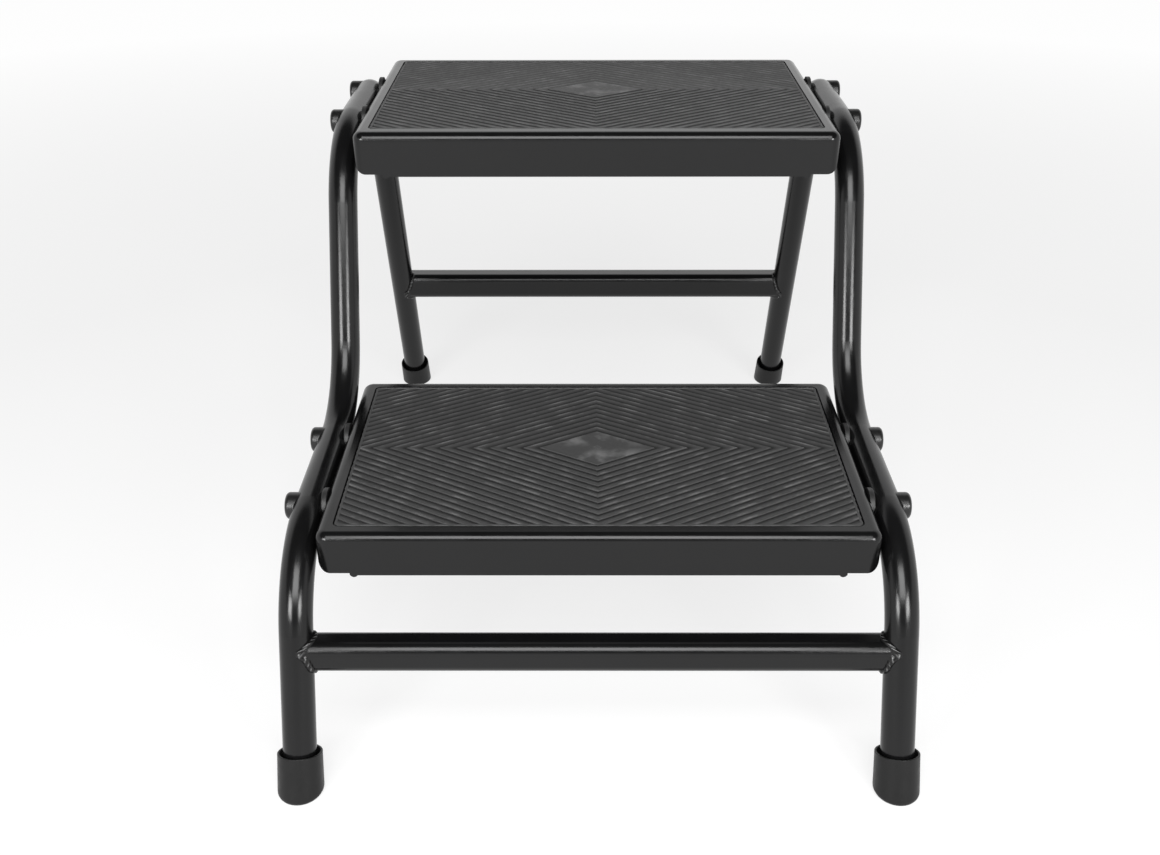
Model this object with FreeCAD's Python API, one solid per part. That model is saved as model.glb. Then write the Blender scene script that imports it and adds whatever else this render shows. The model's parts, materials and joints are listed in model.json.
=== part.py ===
import FreeCAD, Part
import math
import os

# Double step stool: two moulded treads bolted between two bent side tubes.
# Sizes are in millimetres and angles in degrees.
# X runs across, Y runs from the front to the back, Z runs up from the floor.

# Side tubes, measured along their centre line before bending
tube_diameter = 25.0
tube_wall = 1.5
front_leg_lean = 20.5
riser_lean = 23.0
rear_leg_lean = 20.5
tread_slope = 2.0
front_knee_height = 169.3
lower_run_length = 225.0
riser_length = 232.8
upper_run_length = 177.0
step_bend_radius = 88.0
crown_bend_radius = 36.0

# Crossbars
front_crossbar_size = 24.5
rear_crossbar_size = 28.0
crossbar_wall = 1.5
crossbar_edge_radius = 8.0
crossbar_overlap = 6.5
front_crossbar_height = 99.0
front_crossbar_setback = 3.2
rear_crossbar_height = 149.7
rear_crossbar_setback = 5.0
weld_gap = 0.1

# Treads
tread_width = 415.0
tread_skirt_wall = 3.5
tread_deck = 6.0
tread_corner_radius = 9.0
tread_edge_radius = 7.0
tread_bottom_radius = 10.0
front_lip_height = 2.0
front_lip_inset = 24.0
lip_nub_radius = 3.0
lip_nub_drop = 1.6
side_gap = 2.0

# Lower tread: its front edge is set back from the front knee, and its bolts are set back from that edge
lower_tread_depth = 240.0
lower_skirt_height = 33.0
lower_tread_setback = 2.8
lower_mat_front_rim = 14.0
lower_bolts = (61.0, 161.0)

# Upper tread, in the same way from the upper knee
upper_tread_depth = 270.0
upper_skirt_height = 35.5
upper_tread_setback = -34.3
upper_mat_front_rim = 16.0
upper_bolts = (88.0, 192.0)

# Ribs and bolt bosses under a tread
rib_thickness = 2.5
rib_recess = 1.0
lengthwise_ribs = 5
boss_width = 18.0
boss_below_bolt = 9.0
boss_length = 9.0

# Mats let into the treads
mat_thickness = 2.0
mat_side_rim = 13.0
mat_back_rim = 12.0
mat_corner_radius = 4.0
mat_groove = 1.2

# Feet
foot_wall = 4.7
foot_length = 31.0
foot_sole = 9.0
foot_taper = 0.6
foot_lip_flare = 2.6
foot_lip_depth = 10.0
foot_edge_radius = 3.5
foot_rim_radius = 0.5
foot_clearance = 0.1

# Bolts and what goes on them
bolt_diameter = 6.0
bolt_hole_clearance = 0.6
bolt_head_diameter = 13.0
bolt_head_height = 2.2
bolt_head_rounding = 0.8
bolt_socket_flats = 4.0
bolt_socket_depth = 1.6
bolt_tail = 1.5
nut_flats = 10.0
nut_height = 5.0
nut_clearance = 0.05
washer_diameter = 12.0
washer_thickness = 1.6
washer_room = 2.0
saddle_rim = 1.5
saddle_thickness = 1.5
spacer_diameter = 28.0
spacer_thickness = 4.0
spacer_rounding = 1.0
cap_wall = 2.3
cap_end_wall = 1.8
cap_head_room = 0.5
cap_rounding = 3.0
cap_clearance = 0.2
tube_seat_clearance = 0.1

# Places that follow from the sizes above
tube_radius = tube_diameter / 2
tread_side = tread_width / 2
tube_x = tread_side + side_gap + tube_radius
tube_outside = tube_x + tube_radius
tube_below_tread_top = tread_deck + washer_room + washer_diameter / 2
bolt_hole_diameter = bolt_diameter + bolt_hole_clearance
bolt_seat = tube_outside + saddle_thickness
saddle_diameter = bolt_head_diameter + 2 * saddle_rim
cap_diameter = saddle_diameter + 2 * (cap_clearance + cap_wall)
cap_end = bolt_seat + bolt_head_height + cap_head_room + cap_end_wall
boss_face = tread_side - tread_skirt_wall - boss_length
nut_face = boss_face - washer_thickness
bolt_end = nut_face - nut_height - bolt_tail
foot_radius = tube_radius + foot_wall


def cosine(degrees):
    return math.cos(math.radians(degrees))


def sine(degrees):
    return math.sin(math.radians(degrees))


def tangent(degrees):
    return math.tan(math.radians(degrees))


def heading(degrees):
    """A direction in the side view, turned up by an angle from straight back."""
    return FreeCAD.Vector(0, cosine(degrees), sine(degrees))


# Corners of the side view, spread evenly to the front and the back of the origin
run_length = lower_run_length + upper_run_length
crown_height = front_knee_height + run_length * sine(tread_slope) + riser_length * cosine(riser_lean)
rise_depth = run_length * cosine(tread_slope) + riser_length * sine(riser_lean)
foot_spread = front_knee_height * tangent(front_leg_lean) + rise_depth + crown_height * tangent(rear_leg_lean)
front_sole_reach = foot_radius / cosine(front_leg_lean)
rear_sole_reach = foot_radius / cosine(rear_leg_lean)
front_foot = FreeCAD.Vector(0, (front_sole_reach - rear_sole_reach - foot_spread) / 2, 0)
rear_foot = front_foot + FreeCAD.Vector(0, foot_spread, 0)
front_knee = front_foot + heading(90 - front_leg_lean) * (front_knee_height / cosine(front_leg_lean))
lower_heel = front_knee + heading(tread_slope) * lower_run_length
upper_knee = lower_heel + heading(90 - riser_lean) * riser_length
crown = upper_knee + heading(tread_slope) * upper_run_length


def across(x):
    return FreeCAD.Vector(x, 0, 0)


def x_cylinder(radius, x_from, x_to, place):
    """A cylinder lying across the stool, through a place in the side view."""
    return Part.makeCylinder(radius, x_to - x_from, place + across(x_from), across(1))


def x_hexagon(flats, x_from, x_to, place):
    """A six-sided bar lying across the stool, through a place in the side view."""
    corner_reach = flats / math.sqrt(3)
    points = [place + across(x_from) + heading(60 * step) * corner_reach for step in range(7)]
    face = Part.Face(Part.makePolygon(points))
    return face.extrude(across(x_to - x_from))


def mirrored(shape):
    return shape.mirror(FreeCAD.Vector(0, 0, 0), FreeCAD.Vector(1, 0, 0))


def on_side(shape, side):
    """The shape made for the right side, or its mirror image on the left."""
    return mirrored(shape) if side == "left" else shape


def round_edges(shape, radius, chosen):
    return shape.makeFillet(radius, [edge for edge in shape.Edges if chosen(edge)])


def runs_along(axis):
    """A test for straight edges along one axis."""
    def chosen(edge):
        start, end = edge.Vertexes[0].Point, edge.Vertexes[-1].Point
        return abs(abs((end - start).dot(axis)) - edge.Length) < 1e-6
    return chosen


def lies_at_height(height):
    """A test for edges that lie wholly at one height."""
    def chosen(edge):
        box = edge.BoundBox
        return abs(box.ZMin - height) < 1e-4 and abs(box.ZMax - height) < 1e-4
    return chosen


def rounded_block(width, depth, height, corner):
    """A block with rounded upright edges, centred across, front at y = 0, standing on z = 0."""
    block = Part.makeBox(width, depth, height, FreeCAD.Vector(-width / 2, 0, 0))
    return round_edges(block, corner, runs_along(FreeCAD.Vector(0, 0, 1)))


def bent_wire(corners, radii):
    """Straight lines through the corners, with an arc of the given radius at each inner corner."""
    edges = []
    start = corners[0]
    for before, corner, after, radius in zip(corners, corners[1:], corners[2:], radii):
        along_in = (corner - before).normalize()
        along_out = (after - corner).normalize()
        half_turn = along_in.getAngle(along_out) / 2
        cut_back = radius * math.tan(half_turn)
        arc_start = corner - along_in * cut_back
        arc_end = corner + along_out * cut_back
        inward = (along_out - along_in).normalize()
        arc_middle = corner + inward * (radius / math.cos(half_turn) - radius)
        edges.append(Part.makeLine(start, arc_start))
        edges.append(Part.Arc(arc_start, arc_middle, arc_end).toShape())
        start = arc_end
    edges.append(Part.makeLine(start, corners[-1]))
    return Part.Wire(edges)


def side_wire():
    """The centre line of the right side tube, from its end in the front foot to its end in the rear foot."""
    front_end = front_foot + heading(90 - front_leg_lean) * foot_sole
    rear_end = rear_foot + heading(90 + rear_leg_lean) * foot_sole
    corners = (front_end, front_knee, lower_heel, upper_knee, crown, rear_end)
    radii = (step_bend_radius, step_bend_radius, step_bend_radius, crown_bend_radius)
    return bent_wire([corner + across(tube_x) for corner in corners], radii)


def tube_sweep(radius):
    """A solid round bar along the right side tube's centre line."""
    wire = side_wire()
    start, following = wire.OrderedVertexes[0].Point, wire.OrderedVertexes[1].Point
    ring = Part.Wire(Part.makeCircle(radius, start, following - start))
    return wire.makePipeShell([ring], True, False)


def side_tube(bolt_places):
    tube = tube_sweep(tube_radius).cut(tube_sweep(tube_radius - tube_wall))
    for place in bolt_places:
        tube = tube.cut(x_cylinder(bolt_hole_diameter / 2, tread_side, bolt_seat, place))
    return tube


def crossbar(place, outer_size):
    """A square tube between the legs, its ends hollowed to sit against the round tubes."""
    half_length = tube_x - tube_radius + crossbar_overlap

    def square_bar(size, edge_radius):
        corner = place + FreeCAD.Vector(-half_length, -size / 2, -size / 2)
        bar = Part.makeBox(2 * half_length, size, size, corner)
        return round_edges(bar, edge_radius, runs_along(across(1)))

    bar = square_bar(outer_size, crossbar_edge_radius)
    bar = bar.cut(square_bar(outer_size - 2 * crossbar_wall, crossbar_edge_radius - crossbar_wall))
    leg = tube_sweep(tube_radius + weld_gap)
    return bar.cut(leg).cut(mirrored(leg))


def tread_ribs(depth, skirt, bolts):
    """Ribs under the deck: lengthwise ones evenly spread, crosswise ones half way between the bolts."""
    rib_height = skirt - tread_deck - rib_recess
    bottom = -tread_deck - rib_height
    ribs = []
    inner_width = tread_width - 2 * tread_skirt_wall
    for step in range(1, lengthwise_ribs + 1):
        x = -inner_width / 2 + inner_width * step / (lengthwise_ribs + 1)
        corner = FreeCAD.Vector(x - rib_thickness / 2, tread_skirt_wall, bottom)
        ribs.append(Part.makeBox(rib_thickness, depth - 2 * tread_skirt_wall, rib_height, corner))
    stops = (0.0,) + bolts + (depth,)
    for before, after in zip(stops, stops[1:]):
        y = (before + after) / 2
        corner = FreeCAD.Vector(-inner_width / 2, y - rib_thickness / 2, bottom)
        ribs.append(Part.makeBox(inner_width, rib_thickness, rib_height, corner))
    return ribs


def tread_bosses(bolts):
    """Blocks behind the side skirts that the bolts pass through."""
    height = tube_below_tread_top + boss_below_bolt - tread_deck
    bosses = []
    for y in bolts:
        corner = FreeCAD.Vector(boss_face, y - boss_width / 2, -tread_deck - height)
        boss = Part.makeBox(boss_length, boss_width, height, corner)
        bosses.append(boss)
        bosses.append(mirrored(boss))
    return bosses


def mat_block(depth, front_rim, grow):
    """The mat's outline, grown by a margin all round, with its top at z = 0."""
    width = tread_width - 2 * mat_side_rim + 2 * grow
    length = depth - front_rim - mat_back_rim + 2 * grow
    block = rounded_block(width, length, mat_thickness, mat_corner_radius + grow)
    block.translate(FreeCAD.Vector(0, front_rim - grow, -mat_thickness))
    return block


def bottom_edge_trim(depth, skirt):
    """What rounding takes off the right bottom edge of a tread."""
    radius = tread_bottom_radius
    corner = FreeCAD.Vector(tread_side - radius, 0, -skirt)
    block = Part.makeBox(radius, depth, radius, corner)
    keep = Part.makeCylinder(radius, depth, corner + FreeCAD.Vector(0, 0, radius), FreeCAD.Vector(0, 1, 0))
    return block.cut(keep)


def front_lip(skirt):
    """A thin lip under the front skirt, with a round nub at each end."""
    end = tread_side - front_lip_inset
    lip_bottom = -skirt - front_lip_height
    lip = Part.makeBox(2 * end, tread_skirt_wall, front_lip_height, FreeCAD.Vector(-end, 0, lip_bottom))
    nub_height = lip_bottom - lip_nub_drop + lip_nub_radius
    nub_start = FreeCAD.Vector(end - lip_nub_radius, 0, nub_height)
    nub = Part.makeCylinder(lip_nub_radius, tread_skirt_wall, nub_start, FreeCAD.Vector(0, 1, 0))
    return [lip, nub, mirrored(nub)]


def tread(depth, skirt, front_rim, bolts):
    """A skirted tread with its top at z = 0 and its front edge at y = 0."""
    shell = rounded_block(tread_width, depth, skirt, tread_corner_radius)
    shell.translate(FreeCAD.Vector(0, 0, -skirt))
    shell = round_edges(shell, tread_edge_radius, lies_at_height(0))
    cavity = rounded_block(
        tread_width - 2 * tread_skirt_wall,
        depth - 2 * tread_skirt_wall,
        skirt - tread_deck,
        tread_corner_radius - tread_skirt_wall,
    )
    cavity.translate(FreeCAD.Vector(0, tread_skirt_wall, -skirt))
    inside = tread_ribs(depth, skirt, bolts) + tread_bosses(bolts)
    body = shell.cut(cavity).multiFuse(front_lip(skirt) + inside).removeSplitter()
    trim = bottom_edge_trim(depth, skirt)
    body = body.cut(trim).cut(mirrored(trim))
    for y in bolts:
        hole_start = FreeCAD.Vector(-tread_width, y, -tube_below_tread_top)
        hole = Part.makeCylinder(bolt_hole_diameter / 2, 2 * tread_width, hole_start, across(1))
        body = body.cut(hole)
    return body.cut(mat_block(depth, front_rim, mat_groove))


def foot(place, turn):
    """A rubber foot on the right side, pushed over a leg that is turned from upright, flat on the floor."""
    bore = tube_radius + foot_clearance
    below = foot_radius
    profile = [
        (0, -below),
        (foot_radius, -below),
        (foot_radius, 0),
        (foot_radius - foot_taper, foot_length),
        (bore + foot_lip_flare, foot_length),
        (bore, foot_length - foot_lip_depth),
        (bore, foot_sole),
        (0, foot_sole),
        (0, -below),
    ]
    outline = Part.makePolygon([FreeCAD.Vector(radius, 0, along) for radius, along in profile])
    body = Part.Face(outline).revolve(FreeCAD.Vector(0, 0, 0), FreeCAD.Vector(0, 0, 1), 360)
    body = round_edges(body, foot_rim_radius, lies_at_height(foot_length))
    centre = place + across(tube_x)
    body.Placement = FreeCAD.Placement(centre, FreeCAD.Rotation(across(1), turn))
    size = 4 * foot_radius
    ground = Part.makeBox(size, size, size, centre - FreeCAD.Vector(size / 2, size / 2, size))
    body = body.cut(ground)
    return round_edges(body, foot_edge_radius, lies_at_height(0))


def bolt(place):
    """A round-headed socket bolt from the saddle on the tube to the nut inside the tread."""
    head = x_cylinder(bolt_head_diameter / 2, bolt_seat, bolt_seat + bolt_head_height, place)
    outer_end = bolt_seat + bolt_head_height

    def on_outer_end(edge):
        return abs(edge.BoundBox.XMin - outer_end) < 1e-4

    head = round_edges(head, bolt_head_rounding, on_outer_end)
    head = head.cut(x_hexagon(bolt_socket_flats, outer_end - bolt_socket_depth, outer_end + 1, place))
    return head.fuse(x_cylinder(bolt_diameter / 2, bolt_end, bolt_seat, place)).removeSplitter()


def washer(place):
    ring = x_cylinder(washer_diameter / 2, nut_face, boss_face, place)
    return ring.cut(x_cylinder(bolt_hole_diameter / 2, nut_face, boss_face, place))


def nut(place):
    body = x_hexagon(nut_flats, nut_face - nut_height, nut_face, place)
    return body.cut(x_cylinder(bolt_diameter / 2 + nut_clearance, nut_face - nut_height, nut_face, place))


def spacer(place, tube_seat):
    """A round spacer against the tread's flat side, hollowed where the tube sits in it."""
    outer_face = tread_side + spacer_thickness
    body = x_cylinder(spacer_diameter / 2, tread_side, outer_face, place)

    def on_outer_face(edge):
        return abs(edge.BoundBox.XMin - outer_face) < 1e-4

    body = round_edges(body, spacer_rounding, on_outer_face)
    body = body.cut(x_cylinder(bolt_hole_diameter / 2, tread_side, outer_face, place))
    return body.cut(tube_seat)


def saddle(place, tube_seat):
    """A washer that is round on the tube's side and flat under the bolt's head."""
    body = x_cylinder(saddle_diameter / 2, tube_x, bolt_seat, place)
    body = body.cut(x_cylinder(bolt_hole_diameter / 2, tube_x, bolt_seat, place))
    return body.cut(tube_seat)


def cap(place, tube_seat):
    """A round cover over the saddle and the bolt's head."""
    body = x_cylinder(cap_diameter / 2, tube_x, cap_end, place)

    def on_outer_end(edge):
        return abs(edge.BoundBox.XMin - cap_end) < 1e-4

    body = round_edges(body, cap_rounding, on_outer_end)
    pocket = x_cylinder(saddle_diameter / 2 + cap_clearance, tube_x, cap_end - cap_end_wall, place)
    return body.cut(pocket).cut(tube_seat)


def tread_placement(knee, setback):
    """Where a tread goes: sloped like its run of tube, with its front edge set back from the knee."""
    slope = FreeCAD.Rotation(across(1), tread_slope)
    return FreeCAD.Placement(knee + slope.multVec(FreeCAD.Vector(0, setback, tube_below_tread_top)), slope)


def placed(shape, placement):
    shape.Placement = placement.multiply(shape.Placement)
    return shape


def build():
    nodes = {}
    treads = {
        "lower": (tread_placement(front_knee, lower_tread_setback), lower_tread_depth,
                  lower_skirt_height, lower_mat_front_rim, lower_bolts),
        "upper": (tread_placement(upper_knee, upper_tread_setback), upper_tread_depth,
                  upper_skirt_height, upper_mat_front_rim, upper_bolts),
    }
    tube_seat = tube_sweep(tube_radius + tube_seat_clearance)
    bolt_places = []
    for level, (placement, depth, skirt, front_rim, bolts) in treads.items():
        nodes[level + "_tread"] = placed(tread(depth, skirt, front_rim, bolts), placement)
        nodes[level + "_tread_mat"] = placed(mat_block(depth, front_rim, 0), placement)
        fasteners = {"bolts": [], "washers": [], "nuts": []}
        for end, offset in zip(("front", "rear"), bolts):
            place = placement.multVec(FreeCAD.Vector(0, offset, -tube_below_tread_top))
            bolt_places.append(place)
            for side in ("left", "right"):
                name = "_".join((level, end, side))
                nodes[name + "_spacer"] = on_side(spacer(place, tube_seat), side)
                nodes[name + "_saddle"] = on_side(saddle(place, tube_seat), side)
                nodes[name + "_cap"] = on_side(cap(place, tube_seat), side)
                fasteners["bolts"].append(on_side(bolt(place), side))
                fasteners["washers"].append(on_side(washer(place), side))
                fasteners["nuts"].append(on_side(nut(place), side))
        for kind, solids in fasteners.items():
            nodes[level + "_tread_" + kind] = Part.makeCompound(solids)
    shared = {
        "side_tube": side_tube(bolt_places),
        "front_foot": foot(front_foot, -front_leg_lean),
        "rear_foot": foot(rear_foot, rear_leg_lean),
    }
    for name, shape in shared.items():
        for side in ("left", "right"):
            nodes[side + "_" + name] = on_side(shape, side)
    front_shift = front_crossbar_height * tangent(front_leg_lean) + front_crossbar_setback
    rear_shift = rear_crossbar_setback - rear_crossbar_height * tangent(rear_leg_lean)
    front_place = front_foot + FreeCAD.Vector(0, front_shift, front_crossbar_height)
    rear_place = rear_foot + FreeCAD.Vector(0, rear_shift, rear_crossbar_height)
    nodes["front_crossbar"] = crossbar(front_place, front_crossbar_size)
    nodes["rear_crossbar"] = crossbar(rear_place, rear_crossbar_size)
    return nodes


os.makedirs("parts", exist_ok=True)
for name, shape in build().items():
    shape.exportStep("parts/" + name + ".step")
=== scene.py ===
import json
import math
import random
from collections import namedtuple

import bmesh
import bpy
from mathutils import Matrix, Vector


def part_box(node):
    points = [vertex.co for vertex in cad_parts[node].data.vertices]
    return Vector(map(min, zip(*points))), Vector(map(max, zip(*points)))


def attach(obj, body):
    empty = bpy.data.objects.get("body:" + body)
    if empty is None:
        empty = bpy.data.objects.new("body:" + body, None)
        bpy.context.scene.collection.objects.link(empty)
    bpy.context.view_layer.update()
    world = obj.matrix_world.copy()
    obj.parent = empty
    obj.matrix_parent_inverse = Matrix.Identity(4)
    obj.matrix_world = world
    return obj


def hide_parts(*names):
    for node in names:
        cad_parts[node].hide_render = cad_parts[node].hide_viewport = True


# Looks of a double step stool: black satin tubes and treads, ribbed mats, rubber feet and weld beads.
# Lengths are in metres and angles in degrees. X runs across, Y to the back, Z up from the floor.

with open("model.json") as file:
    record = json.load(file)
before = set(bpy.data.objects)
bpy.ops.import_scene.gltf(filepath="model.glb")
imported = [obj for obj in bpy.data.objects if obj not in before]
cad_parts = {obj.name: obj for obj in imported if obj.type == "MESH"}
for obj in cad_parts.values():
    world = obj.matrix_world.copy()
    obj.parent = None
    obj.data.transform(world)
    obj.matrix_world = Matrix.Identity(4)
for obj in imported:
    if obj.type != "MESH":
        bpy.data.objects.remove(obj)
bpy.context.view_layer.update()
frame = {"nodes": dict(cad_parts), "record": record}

# Camera, at the photograph's viewing angle
photo_width_px = 1160
focal_length_px = 1188.15
sensor_width_mm = 36.0
camera_place = (-0.01078, -1.00656, 0.65832)
camera_tilt_down = 28.17
camera_turn_left = 0.21
camera_roll = -0.11

# Mat pattern: concentric rhombic ribs round a plain diamond
mat_thickness = 0.002
mat_corner_radius = 0.004
mat_corner_steps = 5
mat_sharp_angle = 35
merge_distance = 1e-6
rib_height = 0.00075
ribs_from_diamond_to_front = 11
rib_wall_share = 0.10
rib_floor_share = 0.05
rib_crest_share = 0.12
rib_crest_drop = 0.00008
rib_support_share = 0.05
mat_border = 0.0018
mat_border_wall = 0.0003
mat_border_rounding = 0.0004
diamond_half_width = {"lower": 0.0459, "upper": 0.0440}
diamond_half_depth = {"lower": 0.0260, "upper": 0.0295}
diamond_to_back = {"lower": 0.0036, "upper": 0.0095}

# Weld beads where the crossbars meet the legs
leg_lean = 20.5
leg_foot_y = 0.3523406
crossbar_corner_radius = 0.008
bead_leg_on_tube = 0.0018
bead_leg_on_bar = {"front": 0.0030, "rear": 0.0024}
bead_widest_share = 0.985
bead_swell = (0.86, 1.14)
bead_bulge = 0.0006
bead_front_bulge = 0.0010
bead_ripple_pitch = 0.0036
bead_ripple_rise_share = 0.25
bead_ripple_depth = 0.0002
bead_front_ripple_depth = 0.0009
bead_slant = 1.3
bead_root_depth = 0.0015
bead_steps_across = 10
bead_steps_per_ripple = 10
bead_sharp_angle = 60
ripple_attribute = "ripple"

# Finishes: noise lies mostly between its low and high, and the wear depths are measured from the rib tops
refraction_index = 1.5
noise_low = 0.3
noise_high = 0.7
# Share of the rib height over which the painted shade in the mat grooves fades out
groove_shade_share = 0.3
wear_starts_below = 0.00016
wear_full_below = 0.00008
wear_ends_below = 0.00003
wear_streak_size = 0.02
wear_noise_range = (0.48, 0.66)
gate_mark_radius = 0.0045
gate_mark_full_share = 0.6
gate_speck_size = 0.002
gate_noise_range = (0.4, 0.6)
# Painted highlight on the weld ripple crests, standing for their glints: crest range, patch size, patch
# noise range and least strength
weld_glint_range = (0.55, 0.9)
weld_glint_patch = 0.004
weld_glint_noise_range = (0.3, 0.6)
weld_glint_least = 0.3

# Stage and light
floor_size = 30.0
floor_grey = 0.25
floor_glow_near = 0.77
floor_glow_far = 0.96
floor_glow_starts = 0.9
floor_glow_ends = 3.0
world_level = 0.06
white_band_tilt = 18.5
white_band_edge = 23.5
white_band_fades_to = 36.5
top_strip_elevation = 48
top_strip_distance = 2.2
top_strip_size = (1.25, 1.0)
top_strip_power = 32
side_box_azimuth = 30
side_box_distance = 1.6
side_box_height = 0.75
side_box_size = (0.5, 0.4)
side_box_power = 12
light_target = (0, 0, 0.2)


# Scene helpers

def add_object(name, data):
    created = bpy.data.objects.new(name, data)
    bpy.context.scene.collection.objects.link(created)
    return created


def add_camera():
    data = bpy.data.cameras.new("camera")
    data.sensor_fit = "HORIZONTAL"
    data.sensor_width = sensor_width_mm
    data.lens = sensor_width_mm * focal_length_px / photo_width_px
    camera = add_object("camera", data)
    turn = Matrix.Rotation(math.radians(camera_turn_left), 4, "Z")
    tilt = Matrix.Rotation(math.radians(90 - camera_tilt_down), 4, "X")
    roll = Matrix.Rotation(math.radians(camera_roll), 4, "Z")
    camera.matrix_world = Matrix.Translation(camera_place) @ turn @ tilt @ roll
    bpy.context.scene.camera = camera


def aimed(place, target):
    """A matrix at a place whose -Z axis looks at the target."""
    look = Vector(target) - Vector(place)
    return Matrix.Translation(place) @ look.to_track_quat("-Z", "Y").to_matrix().to_4x4()


def add_softbox(name, azimuth, distance, height, size, power):
    """A softbox in front of the stool, turned to the right by the azimuth and aimed at the stool."""
    angle = math.radians(azimuth)
    place = (distance * math.sin(angle), -distance * math.cos(angle), height)
    panel = bpy.data.lights.new(name, "AREA")
    panel.shape = "RECTANGLE"
    panel.size, panel.size_y = size
    panel.energy = power
    add_object(name, panel).matrix_world = aimed(place, light_target)


def add_lights():
    elevation = math.radians(top_strip_elevation)
    reach = top_strip_distance * math.cos(elevation)
    height = top_strip_distance * math.sin(elevation)
    add_softbox("top_strip", 0, reach, height, top_strip_size, top_strip_power)
    for name, side in (("left_box", -1), ("right_box", 1)):
        azimuth = side * side_box_azimuth
        add_softbox(name, azimuth, side_box_distance, side_box_height, side_box_size, side_box_power)


# Node helpers

class Nodes:
    """Short ways to add nodes to a node tree."""

    def __init__(self, tree):
        self.tree = tree

    def add(self, kind, **inputs):
        created = self.tree.nodes.new(kind)
        for name, value in inputs.items():
            self.feed(created.inputs[name.replace("_", " ")], value)
        return created

    def feed(self, socket, value):
        """Links a node's output to a socket, or gives the socket a plain value."""
        if hasattr(value, "is_output"):
            self.tree.links.new(value, socket)
        else:
            socket.default_value = value

    def remap(self, value, from_low, from_high, to_low, to_high):
        node = self.add("ShaderNodeMapRange", Value=value, From_Min=from_low, From_Max=from_high,
                        To_Min=to_low, To_Max=to_high)
        return node.outputs["Result"]

    def maths(self, operation, first, second):
        node = self.add("ShaderNodeMath")
        node.operation = operation
        self.feed(node.inputs[0], first)
        self.feed(node.inputs[1], second)
        return node.outputs[0]

    def shown_to_eye(self):
        """1 for rays from the camera and for reflected and transmitted ones, 0 for rays that carry light."""
        seen = self.add("ShaderNodeLightPath").outputs
        shown = self.maths("MAXIMUM", seen["Is Camera Ray"], seen["Is Glossy Ray"])
        return self.maths("MAXIMUM", shown, seen["Is Transmission Ray"])


class Finish(Nodes):
    """A material with a Principled shader."""

    def __init__(self, name, **values):
        self.material = bpy.data.materials.new(name)
        self.material.use_nodes = True
        super().__init__(self.material.node_tree)
        self.shader = self.tree.nodes["Principled BSDF"]
        self.set("IOR", refraction_index)
        for socket, value in values.items():
            self.set(socket.replace("_", " "), value)
        self.place = self.add("ShaderNodeTexCoord").outputs["Object"]

    def set(self, socket, value):
        self.feed(self.shader.inputs[socket], value)

    def noise(self, size, detail=3.0, stretch=(1, 1, 1)):
        """Noise in object space whose blotches are about as large as size."""
        spread = self.add("ShaderNodeMapping", Vector=self.place, Scale=stretch)
        texture = self.add("ShaderNodeTexNoise", Vector=spread.outputs[0], Scale=1 / size, Detail=detail)
        return texture.outputs["Fac"]

    def distance(self):
        """The distance from the object's origin."""
        length = self.add("ShaderNodeVectorMath", Vector=self.place)
        length.operation = "LENGTH"
        return length.outputs["Value"]

    def mix(self, factor, first, second):
        """A mix of two colours."""
        node = self.add("ShaderNodeMix", Factor=factor)
        node.data_type = "RGBA"
        # The node's colour sockets share their names with others, so they are taken by number
        self.feed(node.inputs[6], first)
        self.feed(node.inputs[7], second)
        return node.outputs[2]

    def mottle(self, patch, dark, light):
        """A colour that wanders between two in patches of a size."""
        self.set("Base Color", self.mix(self.noise(patch), dark, light))

    def roughen(self, patch, low, high):
        """A roughness that wanders between two levels in patches of a size."""
        self.set("Roughness", self.remap(self.noise(patch), noise_low, noise_high, low, high))

    def grain(self, size, depth, detail=2.0, stretch=(1, 1, 1)):
        """Fine bumps of a size and depth."""
        node = self.add("ShaderNodeBump", Height=self.noise(size, detail, stretch), Distance=depth)
        self.set("Normal", node.outputs["Normal"])


def grey(level, blue=0.0):
    return (level, level, level + blue, 1.0)


# Materials

def frame_paint():
    finish = Finish("frame_paint", Specular_IOR_Level=0.36)
    finish.mottle(patch=0.05, dark=grey(0.003), light=grey(0.006, blue=0.0004))
    finish.roughen(patch=0.012, low=0.18, high=0.24)
    finish.grain(size=0.0012, depth=0.00003)
    return finish.material


def weld_paint():
    """The frame's paint, with a painted highlight on the crests of the weld ripples: the base colour
    lightens there, in patches.
    """
    finish = Finish("weld_paint", Specular_IOR_Level=0.36)
    ripple = finish.add("ShaderNodeAttribute")
    ripple.attribute_name = ripple_attribute
    # Painted highlight: the base colour turns light grey on the ripple crests, in patches, standing for
    # glints
    crest = finish.remap(ripple.outputs["Fac"], *weld_glint_range, 0.0, 1.0)
    patches = finish.remap(finish.noise(weld_glint_patch), *weld_glint_noise_range, weld_glint_least, 1.0)
    painted_light_and_wear = finish.maths("MULTIPLY", crest, patches)
    finish.set("Base Color", finish.mix(painted_light_and_wear, first=grey(0.004), second=grey(0.13)))
    finish.roughen(patch=0.003, low=0.2, high=0.3)
    finish.grain(size=0.0012, depth=0.00003)
    return finish.material


def tread_plastic():
    finish = Finish("tread_plastic", Specular_IOR_Level=0.36)
    finish.mottle(patch=0.04, dark=grey(0.003), light=grey(0.005, blue=0.0003))
    finish.roughen(patch=0.02, low=0.16, high=0.22)
    finish.grain(size=0.0006, depth=0.00001)
    return finish.material


def rib_wear(finish, height):
    """1 in streaks on the narrow band just below the rib tops, 0 elsewhere."""
    below_top = finish.remap(height, -wear_ends_below, 0.0, 1.0, 0.0)
    above_slope = finish.remap(height, -wear_starts_below, -wear_full_below, 0.0, 1.0)
    streaks = finish.remap(finish.noise(wear_streak_size), *wear_noise_range, 0.0, 1.0)
    return finish.maths("MULTIPLY", finish.maths("MULTIPLY", above_slope, below_top), streaks)


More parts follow.
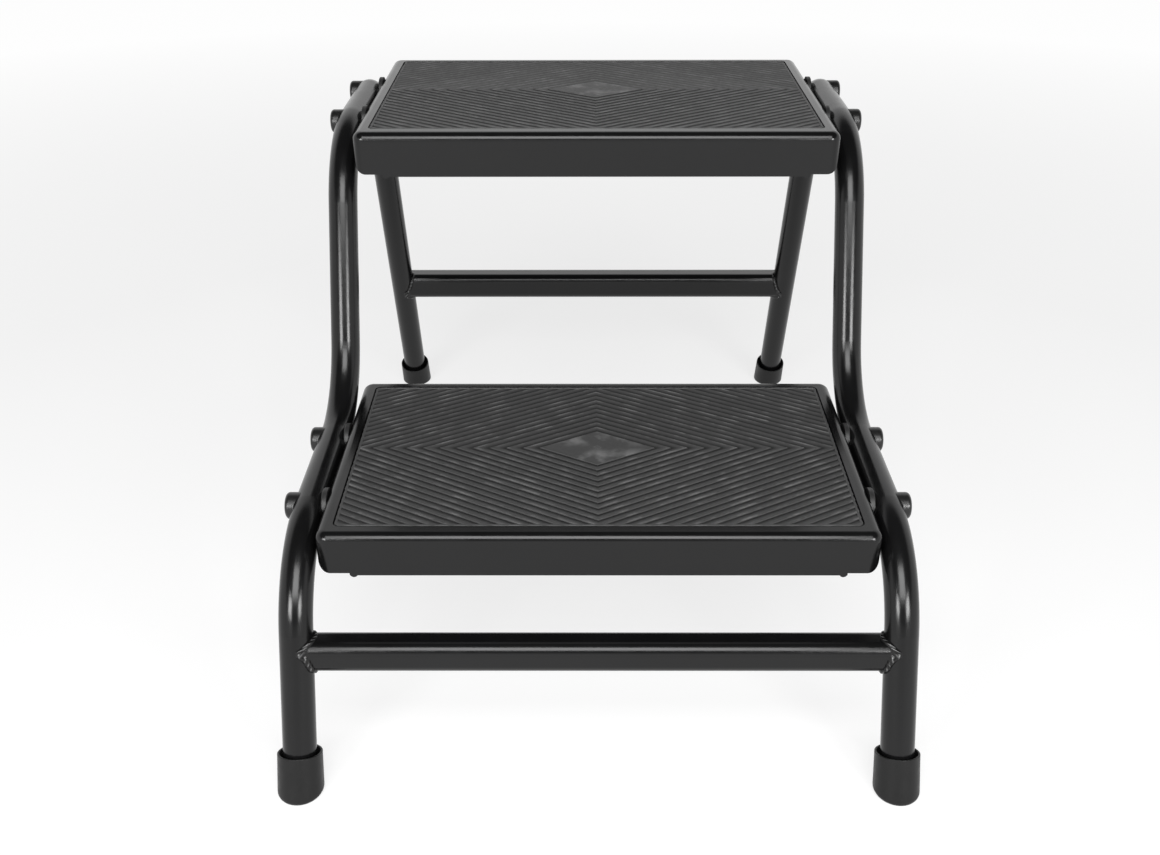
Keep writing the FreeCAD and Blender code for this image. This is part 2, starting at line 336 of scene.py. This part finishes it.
def gate_scuff(finish):
    """1 in specks on the round gate mark in the diamond's middle, 0 elsewhere."""
    full_radius = gate_mark_full_share * gate_mark_radius
    mark = finish.remap(finish.distance(), full_radius, gate_mark_radius, 1.0, 0.0)
    specks = finish.remap(finish.noise(gate_speck_size), *gate_noise_range, 0.0, 1.0)
    return finish.maths("MULTIPLY", mark, specks)


def mat_rubber():
    """Dark rubber with painted shade in the grooves, worn along the rib edges and scuffed at the gate mark.
    """
    finish = Finish("mat_rubber", Specular_IOR_Level=0.24)
    height = finish.add("ShaderNodeSeparateXYZ", Vector=finish.place).outputs["Z"]
    # Painted shade: the grooves between the ribs turn nearly black towards their floors
    raised = finish.remap(height, -rib_height, -groove_shade_share * rib_height, 0.0, 1.0)
    plain = finish.mix(finish.noise(size=0.03), first=grey(0.044), second=grey(0.062))
    groove_shaded = finish.mix(raised, first=grey(0.008), second=plain)
    painted_light_and_wear = finish.mix(rib_wear(finish, height), first=groove_shaded, second=grey(0.15))
    finish.set("Base Color", finish.mix(gate_scuff(finish), first=painted_light_and_wear, second=grey(0.085)))
    finish.roughen(patch=0.004, low=0.46, high=0.58)
    finish.grain(size=0.0008, depth=0.00003)
    return finish.material


def foot_rubber():
    finish = Finish("foot_rubber", Specular_IOR_Level=0.28)
    finish.mottle(patch=0.015, dark=grey(0.006), light=grey(0.010))
    finish.roughen(patch=0.006, low=0.38, high=0.48)
    finish.grain(size=0.0007, depth=0.00005, detail=3.0)
    return finish.material


def cap_plastic():
    finish = Finish("cap_plastic")
    finish.mottle(patch=0.01, dark=grey(0.006), light=grey(0.011))
    finish.roughen(patch=0.004, low=0.27, high=0.36)
    finish.grain(size=0.0008, depth=0.00002)
    return finish.material


def washer_plastic():
    finish = Finish("washer_plastic")
    finish.mottle(patch=0.006, dark=grey(0.012), light=grey(0.02))
    finish.roughen(patch=0.003, low=0.4, high=0.5)
    finish.grain(size=0.0006, depth=0.00002)
    return finish.material


def fastener_steel():
    finish = Finish("fastener_steel", Metallic=1.0)
    finish.mottle(patch=0.003, dark=grey(0.42), light=grey(0.55))
    finish.roughen(patch=0.001, low=0.25, high=0.4)
    finish.grain(size=0.0004, depth=0.00002, stretch=(1, 6, 6))
    return finish.material


def floor_white():
    """Takes light and shadow, and glows white for the camera and reflections, more so further away."""
    finish = Finish("floor_white", Roughness=0.9, Specular_IOR_Level=0.0)
    finish.set("Base Color", grey(floor_grey))
    finish.set("Emission Color", grey(1.0))
    away = finish.distance()
    glow = finish.remap(away, floor_glow_starts, floor_glow_ends, floor_glow_near, floor_glow_far)
    finish.set("Emission Strength", finish.maths("MULTIPLY", finish.shown_to_eye(), glow))
    return finish.material


# Stage

def set_world():
    """Plain even light; the camera and reflections also see a white band, which is higher at the back."""
    world = bpy.data.worlds.new("studio")
    world.use_nodes = True
    bpy.context.scene.world = world
    bpy.context.scene.view_settings.view_transform = "Standard"
    nodes = Nodes(world.node_tree)
    tilt = math.radians(white_band_tilt)
    height = nodes.add("ShaderNodeVectorMath")
    height.operation = "DOT_PRODUCT"
    nodes.feed(height.inputs[0], nodes.add("ShaderNodeTexCoord").outputs["Generated"])
    nodes.feed(height.inputs[1], (0, -math.sin(tilt), math.cos(tilt)))
    edge = math.sin(math.radians(white_band_edge))
    end = math.sin(math.radians(white_band_fades_to))
    band = nodes.remap(height.outputs["Value"], edge, end, 1.0, world_level)
    shown = nodes.maths("MULTIPLY", nodes.shown_to_eye(), band)
    background = world.node_tree.nodes["Background"]
    nodes.feed(background.inputs["Color"], grey(1.0))
    nodes.feed(background.inputs["Strength"], nodes.maths("MAXIMUM", shown, world_level))


def add_floor():
    mesh = bpy.data.meshes.new("floor")
    half = floor_size / 2
    corners = [(-half, -half, 0), (half, -half, 0), (half, half, 0), (-half, half, 0)]
    mesh.from_pydata(corners, [], [(0, 1, 2, 3)])
    mesh.materials.append(floor_white())
    add_object("floor", mesh)


# Ribbed mats

def finished_mesh(name, mesh, sharp_angle):
    """The mesh as data, shaded smooth except along edges sharper than the angle."""
    data = bpy.data.meshes.new(name)
    for face in mesh.faces:
        face.smooth = True
    mesh.to_mesh(data)
    mesh.free()
    data.set_sharp_from_angle(angle=math.radians(sharp_angle))
    return data


def rib_profile():
    """Heights across one rib, as (share of a pitch, height): a steep inner wall, then a long ramp up."""
    foot = rib_wall_share + rib_floor_share
    crest = 1.0 - rib_crest_share
    support = rib_support_share
    ramp_slope = rib_height / (crest - foot)
    return [
        (0.0, -rib_crest_drop),
        (rib_wall_share, -rib_height),
        (foot, -rib_height),
        (foot + support, -rib_height + support * ramp_slope),
        (crest - support, -support * ramp_slope),
        (crest, 0.0),
        (1.0, -rib_crest_drop),
    ]


def border_profile():
    """Heights of the mat's edge, as (distance from the edge, height)."""
    return [
        (0.0, -mat_border_rounding),
        (mat_border_rounding, 0.0),
        (mat_border, 0.0),
        (mat_border + mat_border_wall, -rib_height),
    ]


def interpolate(points, at):
    """The height at a place along points of (place, height), level beyond both ends."""
    if at <= points[0][0]:
        return points[0][1]
    for (start, low), (end, high) in zip(points, points[1:]):
        if at <= end:
            return low + (high - low) * (at - start) / (end - start)
    return points[-1][1]


def cut(mesh, point, normal):
    everything = mesh.verts[:] + mesh.edges[:] + mesh.faces[:]
    bmesh.ops.bisect_plane(mesh, geom=everything, plane_co=point, plane_no=normal)


def flat_quarter(half_width, depth):
    """One flat face from the diamond's middle to the mat's right and back edges, with the corner rounded."""
    radius = mat_corner_radius
    outline = [(0, 0), (half_width, 0)]
    for step in range(mat_corner_steps + 1):
        angle = math.pi / 2 * step / mat_corner_steps
        outline.append((
            half_width - radius + radius * math.cos(angle),
            depth - radius + radius * math.sin(angle),
        ))
    outline.append((0, depth))
    mesh = bmesh.new()
    mesh.faces.new([mesh.verts.new((x, y, 0)) for x, y in outline])
    return mesh


def mat_quarter(half_width, depth, pitch, diamond_width, diamond_depth):
    """The quarter of a mat right of and behind the diamond's middle, cut along every fold and raised."""
    ribs = rib_profile()
    border = border_profile()
    mesh = flat_quarter(half_width, depth)

    def pitches_out(x, y):
        """How many rib pitches a place lies outside the diamond."""
        return (x / diamond_width + y / diamond_depth - 1) * diamond_depth / pitch

    def height(x, y):
        """The rib's height, or the border's where that is higher, down to half the border's inner wall."""
        out = pitches_out(x, y)
        rib = interpolate(ribs, out % 1.0) if out > 0 else 0.0
        edge = interpolate(border, min(half_width - x, depth - y))
        in_border = edge > -rib_height / 2
        return max(rib, edge) if in_border else rib

    across_ribs = (1 / diamond_width, 1 / diamond_depth, 0)
    for ring in range(math.ceil(pitches_out(half_width, depth))):
        for share, _ in ribs[:-1]:
            reach = 1 + (ring + share) * pitch / diamond_depth
            cut(mesh, (diamond_width * reach, 0, 0), across_ribs)
    for distance, _ in border[1:]:
        cut(mesh, (half_width - distance, 0, 0), (1, 0, 0))
        cut(mesh, (0, depth - distance, 0), (0, 1, 0))
    for vertex in mesh.verts:
        vertex.co.z = height(vertex.co.x, vertex.co.y)
    return mesh


def add_skirt(mesh):
    """Sides down from the mat's rim, and a flat underside."""
    rim = [edge for edge in mesh.edges if edge.is_boundary]
    skirt = bmesh.ops.extrude_edge_only(mesh, edges=rim)["geom"]
    for vertex in (item for item in skirt if isinstance(item, bmesh.types.BMVert)):
        vertex.co.z = -mat_thickness
    bmesh.ops.holes_fill(mesh, edges=[edge for edge in mesh.edges if edge.is_boundary], sides=0)
    bmesh.ops.recalc_face_normals(mesh, faces=mesh.faces[:])


def mat_mesh(name, half_width, half_depth, level):
    """A mat round the middle of its diamond, which lies behind the mat's own middle."""
    shift = diamond_to_back[level]
    diamond = diamond_half_width[level], diamond_half_depth[level]
    pitch = (half_depth + shift - diamond[1]) / ribs_from_diamond_to_front
    mesh = bmesh.new()
    for depth, direction in ((half_depth - shift, 1), (half_depth + shift, -1)):
        quarter = mat_quarter(half_width, depth, pitch, *diamond)
        for vertex in quarter.verts:
            vertex.co.y *= direction
        quarter_data = finished_mesh(name + "_quarter", quarter, mat_sharp_angle)
        mesh.from_mesh(quarter_data)
        bpy.data.meshes.remove(quarter_data)
    everything = mesh.verts[:] + mesh.edges[:] + mesh.faces[:]
    bmesh.ops.mirror(mesh, geom=everything, axis="X", merge_dist=merge_distance)
    bmesh.ops.remove_doubles(mesh, verts=mesh.verts[:], dist=merge_distance)
    add_skirt(mesh)
    return finished_mesh(name, mesh, mat_sharp_angle)


def add_mat(level, material):
    node = level + "_tread_mat"
    mount = next(mount for mount in frame["record"]["mounts"] if mount["name"] == level + "_step")
    slope = math.atan2(-mount["axis"][1], mount["axis"][2])
    low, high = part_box(node)
    half_width = (high[0] - low[0]) / 2
    half_depth = (high[1] - low[1] - mat_thickness * math.sin(slope)) / math.cos(slope) / 2
    name = level + "_ribbed_mat"
    mesh = mat_mesh(name, half_width, half_depth, level)
    mesh.materials.append(material)
    mat = add_object(name, mesh)
    middle = Matrix.Translation(mount["pos_m"]) @ Matrix.Rotation(slope, 4, "X")
    mat.matrix_world = middle @ Matrix.Translation((0, diamond_to_back[level], 0))
    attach(mat, "root")
    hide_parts(node)


# Weld beads

Weld = namedtuple("Weld", "bar centre half bar_end tube_x tube_radius lean axis_y side")


def side_length(half):
    """The length of a crossbar outline's straight side together with one rounded corner."""
    return 2 * (half - crossbar_corner_radius) + math.pi / 2 * crossbar_corner_radius


def bar_outline(half, place):
    """A point and the outward direction on a crossbar's outline, a share of the way round from its top."""
    radius = crossbar_corner_radius
    straight = 2 * (half - radius)
    side = side_length(half)
    turns, rest = divmod(place * 4 * side + straight / 2, side)
    if rest < straight:
        point, outward = (rest - straight / 2, half), (0.0, 1.0)
    else:
        angle = (rest - straight) / radius
        outward = (math.sin(angle), math.cos(angle))
        point = (straight / 2 + radius * outward[0], straight / 2 + radius * outward[1])
    turn = Matrix.Rotation(-turns * math.pi / 2, 2)
    return turn @ Vector(point), turn @ Vector(outward)


def on_tube(weld, spot):
    """The spot on the leg's inner side that lies beside a spot on the bar's outline."""
    off_axis_way = Vector((math.cos(weld.lean), -math.sin(weld.lean)))
    behind_axis = Vector((weld.centre[0] - weld.axis_y, 0))
    widest = bead_widest_share * weld.tube_radius
    off_axis = (spot + behind_axis).dot(off_axis_way)
    held = max(-widest, min(widest, off_axis))
    spot = spot + off_axis_way * (held - off_axis)
    return Vector((weld.tube_x - math.sqrt(weld.tube_radius ** 2 - held ** 2), spot.x, spot.y))


def bead_ripple(phase):
    """The height along one ripple as a share of its depth: a short rise, then a long fall."""
    if phase < bead_ripple_rise_share:
        return phase / bead_ripple_rise_share
    return (1 - phase) / (1 - bead_ripple_rise_share)


def bead_ring(weld, point, outward, place, size):
    """Spots across the bead from its hidden root, each with its nearness to a ripple's crest."""
    corner = Vector((min(on_tube(weld, point).x, weld.bar_end), point.x, point.y))
    tube_edge = on_tube(weld, point + outward * bead_leg_on_tube * size)
    bar_edge = corner - Vector((bead_leg_on_bar[weld.bar] * size, 0, 0))
    facing_front = max(0.0, -outward.x) ** 2
    bulge = bead_bulge + (bead_front_bulge - bead_bulge) * facing_front
    depth = bead_ripple_depth + (bead_front_ripple_depth - bead_ripple_depth) * facing_front
    lift = Vector((0, outward.x, outward.y)) * bead_bulge
    away = ((tube_edge + bar_edge) / 2 - corner + lift).normalized()
    ring = [(corner - away * bead_root_depth, 0.0)]
    for across in range(bead_steps_across + 1):
        share = across / bead_steps_across
        # A parabola that is 1 in the middle and 0 at both edges
        crown = 4 * share * (1 - share)
        ripple = bead_ripple((place - bead_slant * share) % 1.0)
        rise = crown * (bulge * size + depth * ripple)
        ring.append((tube_edge.lerp(bar_edge, share) + away * rise, crown * ripple))
    return ring


def join_rings(mesh, rings):
    """Faces between neighbouring closed rings of vertices, and between the last ring and the first."""
    for first, second in zip(rings, rings[1:] + rings[:1]):
        for index in range(len(first)):
            following = (index + 1) % len(first)
            mesh.faces.new((first[index], first[following], second[following], second[index]))
    bmesh.ops.recalc_face_normals(mesh, faces=mesh.faces[:])


def bead_mesh(name, weld):
    """A rippled fillet round the end of a square bar, along the line where it meets the leg."""
    ripples = round(4 * side_length(weld.half) / bead_ripple_pitch)
    steps = ripples * bead_steps_per_ripple
    scatter = random.Random(name)
    swell = [scatter.uniform(*bead_swell) for _ in range(ripples)]
    mesh = bmesh.new()
    crest_layer = mesh.verts.layers.float.new(ripple_attribute)
    rings = []
    for step in range(steps):
        point, outward = bar_outline(weld.half, step / steps)
        place = step / bead_steps_per_ripple
        rings.append([])
        for spot, crest in bead_ring(weld, point, outward, place, swell[int(place)]):
            vertex = mesh.verts.new((weld.side * spot.x, weld.centre[0] + spot.y, weld.centre[1] + spot.z))
            vertex[crest_layer] = crest
            rings[-1].append(vertex)
    join_rings(mesh, rings)
    return finished_mesh(name, mesh, bead_sharp_angle)


def add_beads(material):
    tube_low, tube_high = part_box("right_side_tube")
    tube_x = (tube_low[0] + tube_high[0]) / 2
    tube_radius = (tube_high[0] - tube_low[0]) / 2
    for bar, way in (("front", 1), ("rear", -1)):
        low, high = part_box(bar + "_crossbar")
        centre = ((low[1] + high[1]) / 2, (low[2] + high[2]) / 2)
        half = (high[2] - low[2]) / 2
        lean = math.radians(way * leg_lean)
        axis_y = centre[1] * math.tan(lean) - way * leg_foot_y
        for side_name, side in (("left", -1), ("right", 1)):
            name = bar + "_" + side_name + "_weld"
            weld = Weld(bar, centre, half, high[0], tube_x, tube_radius, lean, axis_y, side)
            mesh = bead_mesh(name, weld)
            mesh.materials.append(material)
            bead = add_object(name, mesh)
            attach(bead, "root")


def main():
    add_camera()
    add_lights()
    set_world()
    add_floor()
    makers = (frame_paint, weld_paint, tread_plastic, mat_rubber, foot_rubber, cap_plastic, washer_plastic,
              fastener_steel)
    materials = {maker.__name__: maker() for maker in makers}
    for subpart in frame["record"]["subparts"]:
        slots = frame["nodes"][subpart["node"]].data.materials
        slots.clear()
        slots.append(materials[subpart["material_slot"]])
    for level in ("lower", "upper"):
        add_mat(level, materials["mat_rubber"])
    add_beads(materials["weld_paint"])


main()
